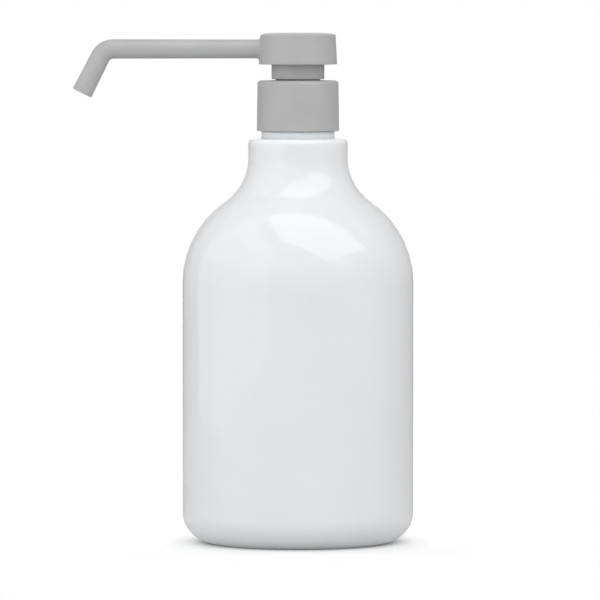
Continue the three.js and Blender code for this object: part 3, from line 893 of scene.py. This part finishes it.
def make_head(material):
    """The push head and its spout in one skin, then the inner tube joined and the bore cut."""
    ridge = thread(
        POST_BOTTOM - POST_RIDGE_DROP,
        LOCK_PITCH,
        POST_RIDGE_LEAD,
        POST_RIDGE_TURNS,
        LOCK_ROOT_WIDTH - POST_RIDGE_SLACK,
        LOCK_CREST_WIDTH - POST_RIDGE_SLACK,
    )

    def relief(angle, radius, height):
        if abs(radius - POST_RADIUS) < TINY and height < HEAD_BOTTOM:
            return LOCK_DEPTH * ridge(angle, height)
        return 0

    points = outline(head_corners(), closed=False)
    wall_rows = [
        row
        for row, (radius, height) in enumerate(points)
        if abs(radius - head_wall(height)) < ON_WALL and height > HEAD_BOTTOM + HEAD_FOOT
    ]
    rows = (wall_rows[0], wall_rows[-1])
    middle = HEAD_SEGMENTS // 2
    columns = range(middle - WINDOW_COLUMNS // 2, middle + WINDOW_COLUMNS // 2)
    shell = Shell()
    rings = turn(shell, points, even_angles(HEAD_SEGMENTS), relief, (*rows, columns))
    add_spout(shell, window_loop(rings, rows, columns))
    made = to_object("push_head", shell)
    sides = even_angles(BORE_SIDES)
    inner_start = (STEM_SOCKET + POST_RADIUS) / 2
    inner_end = HEAD_RADIUS - HEAD_SKIRT / 2 - HEAD_DRAFT / 2
    inner = []
    for step in range(INNER_TUBE_RINGS + 1):
        distance = inner_start + (inner_end - inner_start) * step / INNER_TUBE_RINGS
        inner.append(spout_ring(distance, sides))
    combine(made, Shell().loft(inner), "UNION")
    distances = spout_distances(-STEM_BORE, SPOUT_LENGTH + SPOUT_WALL)
    bore = [spout_ring(distance, sides, -SPOUT_WALL) for distance in distances]
    combine(made, Shell().loft(bore), "DIFFERENCE")
    dress(made, "actuator_head", material)
    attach(made, BODY_OF["actuator_head"])


# Materials

TONE_ENDS = (0.3, 0.7)
CLOUD_DETAIL = 3
FINE_DETAIL = 2
GLOSS_PER_CLOUD = 4


def pattern(tree, scale, detail):
    """Noise that stays with the piece, at so many features a metre."""
    place_on = tree.nodes.new("ShaderNodeTexCoord")
    noise = tree.nodes.new("ShaderNodeTexNoise")
    noise.inputs["Scale"].default_value = scale
    noise.inputs["Detail"].default_value = detail
    tree.links.new(place_on.outputs["Object"], noise.inputs["Vector"])
    return noise.outputs[0]


def moulded(name, dark, pale, roughness, clouds, grain, grain_height, metallic=0, milky=0):
    """A moulded surface: colour that clouds a little between two tones, uneven gloss, fine grain."""
    material = bpy.data.materials.new(name)
    material.use_nodes = True
    tree = material.node_tree
    shader = tree.nodes["Principled BSDF"]
    shader.inputs["Metallic"].default_value = metallic
    shader.inputs["Subsurface Weight"].default_value = 1 if milky else 0
    shader.inputs["Subsurface Radius"].default_value = (1, 1, 1)
    shader.inputs["Subsurface Scale"].default_value = milky * MM
    tones = tree.nodes.new("ShaderNodeValToRGB")
    for end, position, tone in zip(tones.color_ramp.elements, TONE_ENDS, (dark, pale)):
        end.position = position
        end.color = (*tone, 1)
    tree.links.new(pattern(tree, clouds, CLOUD_DETAIL), tones.inputs["Fac"])
    tree.links.new(tones.outputs["Color"], shader.inputs["Base Color"])
    gloss = tree.nodes.new("ShaderNodeMapRange")
    gloss.inputs["To Min"].default_value = roughness[0]
    gloss.inputs["To Max"].default_value = roughness[1]
    patches = pattern(tree, clouds * GLOSS_PER_CLOUD, FINE_DETAIL)
    tree.links.new(patches, gloss.inputs["Value"])
    tree.links.new(gloss.outputs["Result"], shader.inputs["Roughness"])
    bump = tree.nodes.new("ShaderNodeBump")
    bump.inputs["Distance"].default_value = grain_height * MM
    tree.links.new(pattern(tree, grain, FINE_DETAIL), bump.inputs["Height"])
    tree.links.new(bump.outputs["Normal"], shader.inputs["Normal"])
    return material


# Studio

SOFT_BOX_CENTRE = Vector((0.155, -0.603, 1.075))
SOFT_BOX_FACING = Vector((-0.543, -0.135, -0.829))
SOFT_BOX_EDGE = Vector((0.839, -0.123, -0.53))
SOFT_BOX_SIZE = (1.5, 1.15)
SOFT_BOX_LEVEL = 0.92
SOFT_BOX_SHINE = 1
SHINE_OFFSET = 0.004
LEFT_PANEL_CENTRE = Vector((-0.6, -0.415, 0.555))
LEFT_PANEL_LEVEL = 0.62
RIGHT_PANEL_CENTRE = Vector((0.75, -0.3, 0.555))
RIGHT_PANEL_LEVEL = 0.3
PANEL_SIZE = (1.41, 1.11)
TO_RIGHT = Vector((1, 0, 0))
ALONG_FLOOR = Vector((0, 1, 0))
FRONT_LEVEL = 0.84
FRONT_SPREAD = (0.2, -0.8)
FRONT_HEIGHT = (0.35, 0.75)
WALL_LEVEL = 0.42
CEILING_LEVEL = 0.57
CEILING_START = (0.2, 0.8)
BACKDROP_START = (0.3, 0.6)
BACKDROP_EDGE = (0.14, 0.24)
FLOOR_RADIUS = 6
FLOOR_COLOUR = (0.6, 0.6, 0.6, 1)
# Painted glow on the floor's front that only reflections see, to brighten the floor in reflections
FLOOR_GLOW_IN_REFLECTIONS = 0.6
FLOOR_FRONT = (0.15, -0.15)
# Painted glow on the floor for the camera: weaker in front as painted shade, with painted contact shade
PAINTED_GLOW_SPREAD = (-0.045, 0.015)
PAINTED_GLOW_LEVELS = (0.375, 0.66)
PAINTED_SHADE_REACH = 0.02
PAINTED_SHADE_POWER = 0.6
FLOOR_FADE = (0.045, 0.085)

CAMERA_PLACE = Vector((0.0007, -2.079, 0.1875))
CAMERA_AIM = Vector((0.0007, 0, 0.084))
CAMERA_LENS = 360
CAMERA_REACH = 20


def panel_light(name, centre, facing, edge, size, level, mirrored_only=False):
    """A soft rectangular light whose surface is as bright as a white of that level."""
    lamp = bpy.data.lights.new(name, "AREA")
    lamp.shape = "RECTANGLE"
    lamp.size, lamp.size_y = size
    lamp.energy = level * math.pi * size[0] * size[1]
    made = bpy.data.objects.new(name, lamp)
    back = -facing.normalized()
    right = (edge - back * edge.dot(back)).normalized()
    turned_to = Matrix((right, back.cross(right), back)).transposed().to_4x4()
    made.matrix_world = Matrix.Translation(centre) @ turned_to
    made.visible_camera = False
    made.visible_diffuse = not mirrored_only
    bpy.context.scene.collection.objects.link(made)


def combined(tree, operation, first, second):
    """Two numbers put together by a Math node; the second may be a plain number."""
    node = tree.nodes.new("ShaderNodeMath")
    node.operation = operation
    tree.links.new(first, node.inputs[0])
    if isinstance(second, (int, float)):
        node.inputs[1].default_value = second
    else:
        tree.links.new(second, node.inputs[1])
    return node.outputs[0]


def seen_rays(tree):
    """1 for rays from the camera and rays that mirror or pass on what lies behind, else 0."""
    path = tree.nodes.new("ShaderNodeLightPath")
    direct = combined(tree, "MAXIMUM", path.outputs["Is Camera Ray"], path.outputs["Is Glossy Ray"])
    return path, combined(tree, "MAXIMUM", direct, path.outputs["Is Transmission Ray"])


def mix_values(tree, factor, low, high):
    """A number that goes from low to high with the factor; each may be a socket."""
    mix = tree.nodes.new("ShaderNodeMix")
    tree.links.new(factor, mix.inputs["Factor"])
    for socket, value in (("A", low), ("B", high)):
        if isinstance(value, (int, float)):
            mix.inputs[socket].default_value = value
        else:
            tree.links.new(value, mix.inputs[socket])
    return mix.outputs["Result"]


def blend_range(tree, value, start, end, low=0.0, high=1.0):
    """A number that goes smoothly from low to high while a value goes from start to end."""
    blend = tree.nodes.new("ShaderNodeMapRange")
    blend.interpolation_type = "SMOOTHSTEP"
    for socket, number in (("From Min", start), ("From Max", end), ("To Min", low), ("To Max", high)):
        blend.inputs[socket].default_value = number
    tree.links.new(value, blend.inputs["Value"])
    return blend.outputs["Result"]


def make_world():
    """A room that is brightest low in front, with a paler ceiling. The camera sees white behind
    the object, and so do reflections in a band straight behind it."""
    world = bpy.data.worlds.new("studio")
    bpy.context.scene.world = world
    world.use_nodes = True
    tree = world.node_tree
    path, seen = seen_rays(tree)
    direction = tree.nodes.new("ShaderNodeTexCoord")
    split = tree.nodes.new("ShaderNodeSeparateXYZ")
    tree.links.new(direction.outputs["Generated"], split.inputs["Vector"])
    ahead = blend_range(tree, split.outputs["Y"], *FRONT_SPREAD, 0.0, FRONT_LEVEL)
    low = blend_range(tree, split.outputs["Z"], *FRONT_HEIGHT, 1.0, 0.0)
    front = combined(tree, "MULTIPLY", ahead, low)
    ceiling = blend_range(tree, split.outputs["Z"], *CEILING_START, WALL_LEVEL, CEILING_LEVEL)
    room = combined(tree, "ADD", front, ceiling)
    aside = combined(tree, "ABSOLUTE", split.outputs["X"], 0)
    behind = blend_range(tree, split.outputs["Y"], *BACKDROP_START)
    narrow = blend_range(tree, aside, *BACKDROP_EDGE, 1.0, 0.0)
    backdrop = combined(tree, "MULTIPLY", behind, narrow)
    mirrored = combined(tree, "MULTIPLY", seen, backdrop)
    white = combined(tree, "MAXIMUM", path.outputs["Is Camera Ray"], mirrored)
    background = tree.nodes["Background"]
    background.inputs["Color"].default_value = (1, 1, 1, 1)
    tree.links.new(mix_values(tree, white, room, 1.0), background.inputs["Strength"])


def floor_material():
    """A pale matt floor that keeps the object's shadow. The camera sees it with a painted glow, not a
    lamp: weaker in front than behind as painted shade, darker near the object as painted contact shade,
    and fading to white. Reflections see its front as bright as the room's."""
    material = bpy.data.materials.new("floor")
    material.use_nodes = True
    tree = material.node_tree
    tree.nodes.remove(tree.nodes["Principled BSDF"])
    path, seen = seen_rays(tree)
    position = tree.nodes.new("ShaderNodeTexCoord")
    split = tree.nodes.new("ShaderNodeSeparateXYZ")
    tree.links.new(position.outputs["Object"], split.inputs["Vector"])
    distance = tree.nodes.new("ShaderNodeVectorMath")
    distance.operation = "LENGTH"
    tree.links.new(position.outputs["Object"], distance.inputs[0])
    matt = tree.nodes.new("ShaderNodeBsdfDiffuse")
    matt.inputs["Color"].default_value = FLOOR_COLOUR
    # Reflections see the floor's front glow: painted brightness, not light from a lamp
    front = combined(tree, "MULTIPLY", seen, blend_range(tree, split.outputs["Y"], *FLOOR_FRONT))
    mirrored = combined(tree, "MULTIPLY", front, FLOOR_GLOW_IN_REFLECTIONS)
    # Ambient occlusion darkens the painted glow near the object: a painted contact shadow
    contact = tree.nodes.new("ShaderNodeAmbientOcclusion")
    contact.inputs["Distance"].default_value = PAINTED_SHADE_REACH
    painted_contact_shade = combined(tree, "POWER", contact.outputs["AO"], PAINTED_SHADE_POWER)
    # The painted glow is weaker in front of the object than behind it: painted shade
    painted_glow_by_depth = blend_range(tree, split.outputs["Y"], *PAINTED_GLOW_SPREAD, *PAINTED_GLOW_LEVELS)
    painted_glow_level = combined(tree, "MULTIPLY", painted_glow_by_depth, painted_contact_shade)
    lift = tree.nodes.new("ShaderNodeEmission")
    strength = mix_values(tree, path.outputs["Is Camera Ray"], mirrored, painted_glow_level)
    tree.links.new(strength, lift.inputs["Strength"])
    lifted = tree.nodes.new("ShaderNodeAddShader")
    tree.links.new(matt.outputs["BSDF"], lifted.inputs[0])
    tree.links.new(lift.outputs["Emission"], lifted.inputs[1])
    white = tree.nodes.new("ShaderNodeEmission")
    fade = blend_range(tree, distance.outputs["Value"], *FLOOR_FADE)
    surface = tree.nodes.new("ShaderNodeMixShader")
    faded = combined(tree, "MULTIPLY", fade, path.outputs["Is Camera Ray"])
    tree.links.new(faded, surface.inputs["Fac"])
    tree.links.new(lifted.outputs["Shader"], surface.inputs[1])
    tree.links.new(white.outputs["Emission"], surface.inputs[2])
    tree.links.new(surface.outputs["Shader"], tree.nodes["Material Output"].inputs["Surface"])
    return material


def make_floor():
    shell = Shell()
    rim = shell.ring([polar(FLOOR_RADIUS / MM, angle, 0) for angle in even_angles(FLOOR_SIDES)])
    shell.band(rim, shell.pole((0, 0, 0), FLOOR_SIDES))
    floor = to_object("floor", shell)
    floor.data.materials.append(floor_material())


def make_camera():
    data = bpy.data.cameras.new("camera")
    data.lens = CAMERA_LENS
    data.clip_end = CAMERA_REACH
    camera = bpy.data.objects.new("camera", data)
    camera.location = CAMERA_PLACE
    camera.rotation_mode = "QUATERNION"
    camera.rotation_quaternion = (CAMERA_AIM - CAMERA_PLACE).to_track_quat("-Z", "Y")
    bpy.context.scene.collection.objects.link(camera)
    bpy.context.scene.camera = camera


bpy.context.scene.view_settings.view_transform = "Standard"

bottle_white = moulded(
    "bottle_white",
    dark=(0.795, 0.825, 0.85),
    pale=(0.81, 0.84, 0.862),
    roughness=(0.012, 0.02),
    clouds=30,
    grain=180,
    grain_height=0.0008,
    milky=2,
)
pump_grey = moulded(
    "pump_grey",
    dark=(0.387, 0.389, 0.389),
    pale=(0.413, 0.414, 0.413),
    roughness=(0.32, 0.4),
    clouds=90,
    grain=2500,
    grain_height=0.012,
)
natural_plastic = moulded(
    "natural_plastic",
    dark=(0.7, 0.71, 0.69),
    pale=(0.76, 0.77, 0.75),
    roughness=(0.3, 0.42),
    clouds=60,
    grain=900,
    grain_height=0.006,
)
soft_seal = moulded(
    "soft_seal",
    dark=(0.74, 0.73, 0.68),
    pale=(0.8, 0.79, 0.74),
    roughness=(0.5, 0.62),
    clouds=120,
    grain=1800,
    grain_height=0.01,
)
steel = moulded(
    "steel",
    dark=(0.5, 0.51, 0.53),
    pale=(0.62, 0.63, 0.65),
    roughness=(0.18, 0.32),
    clouds=300,
    grain=4000,
    grain_height=0.004,
    metallic=1,
)

make_bottle(bottle_white)
make_closure(pump_grey)
make_lock_collar(pump_grey)
make_head(pump_grey)
make_stem(natural_plastic)
make_rod(natural_plastic)
make_housing(natural_plastic)
make_dip_tube(natural_plastic)
make_piston(soft_seal)
make_gasket(soft_seal)
make_spring(steel)
make_ball(steel)

make_world()
# The soft box stands twice: once as a light, and once more where only reflections see it
soft_box = (SOFT_BOX_FACING, SOFT_BOX_EDGE, SOFT_BOX_SIZE)
shine_centre = SOFT_BOX_CENTRE + SOFT_BOX_FACING * SHINE_OFFSET
panel_light("soft_box", SOFT_BOX_CENTRE, *soft_box, SOFT_BOX_LEVEL)
panel_light("soft_box_shine", shine_centre, *soft_box, SOFT_BOX_SHINE, mirrored_only=True)
panel_light("left_panel", LEFT_PANEL_CENTRE, TO_RIGHT, ALONG_FLOOR, PANEL_SIZE, LEFT_PANEL_LEVEL)
panel_light("right_panel", RIGHT_PANEL_CENTRE, -TO_RIGHT, ALONG_FLOOR, PANEL_SIZE, RIGHT_PANEL_LEVEL)
make_floor()
make_camera()

bpy.context.view_layer.update()
